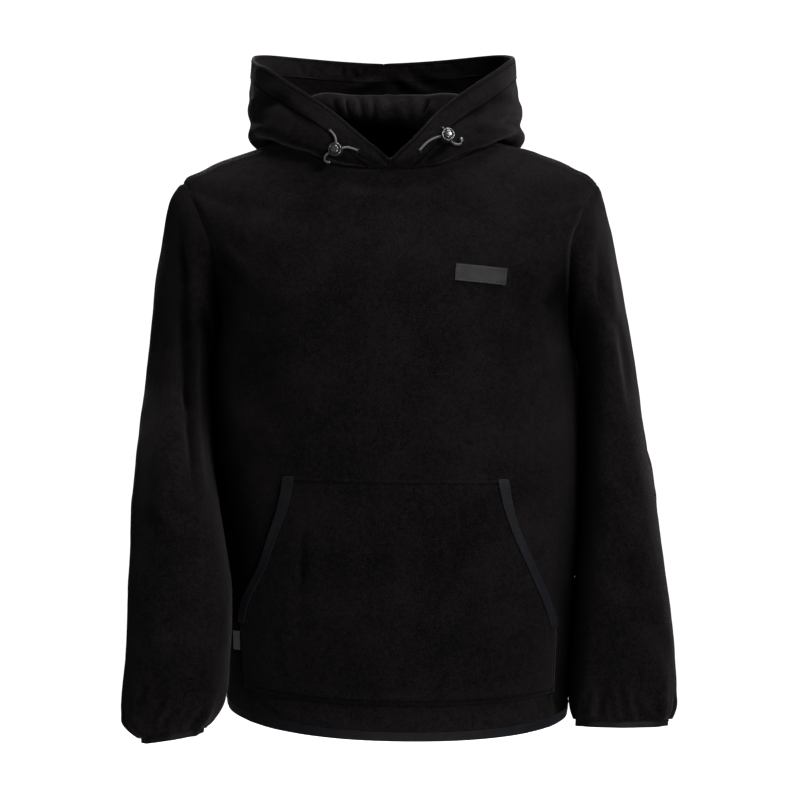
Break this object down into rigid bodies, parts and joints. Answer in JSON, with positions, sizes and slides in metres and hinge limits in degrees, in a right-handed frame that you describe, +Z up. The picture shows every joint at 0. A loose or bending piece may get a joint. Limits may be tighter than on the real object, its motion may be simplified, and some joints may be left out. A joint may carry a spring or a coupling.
{
  "type": "pullover hoodie",
  "caption": "Fleece pullover hoodie filled out as worn: an open hollow body and sleeves, a hood lying back with locked drawcords, a kangaroo pocket, and a bound hem and cuffs.",
  "frame": {"origin": "middle of the base of the neck, where the hoodie hangs on its wearer's shoulders", "axes": "+Z up from hem to hood, -Y out of the front, +X towards the wearer's left sleeve"},
  "size_m": [0.6699, 0.3582, 0.8464],
  "materials": {
    "fleece": "matte napped fleece",
    "tape": "smooth woven stretch tape",
    "rubber": "matte moulded rubber",
    "cord": "braided elastic cord",
    "plastic": "glossy moulded plastic"
  },
  "bodies": {
    "root": {"front": "fleece", "back": "fleece", "sleeve_left": "fleece", "sleeve_right": "fleece", "hood_left": "fleece", "hood_right": "fleece", "pocket": "fleece", "pocket_binding_left": "tape", "pocket_binding_right": "tape", "hem_binding": "tape", "cuff_binding_left": "tape", "cuff_binding_right": "tape", "chest_patch": "rubber", "side_label": "rubber", "cord_upper_left": "cord", "cord_lower_left": "cord", "cord_tail_left": "cord", "cord_lock_left": "plastic", "lock_button_left": "plastic", "cord_end_left": "plastic", "cord_upper_right": "cord", "cord_lower_right": "cord", "cord_tail_right": "cord", "cord_lock_right": "plastic", "lock_button_right": "plastic", "cord_end_right": "plastic"}
  },
  "joints": []
}
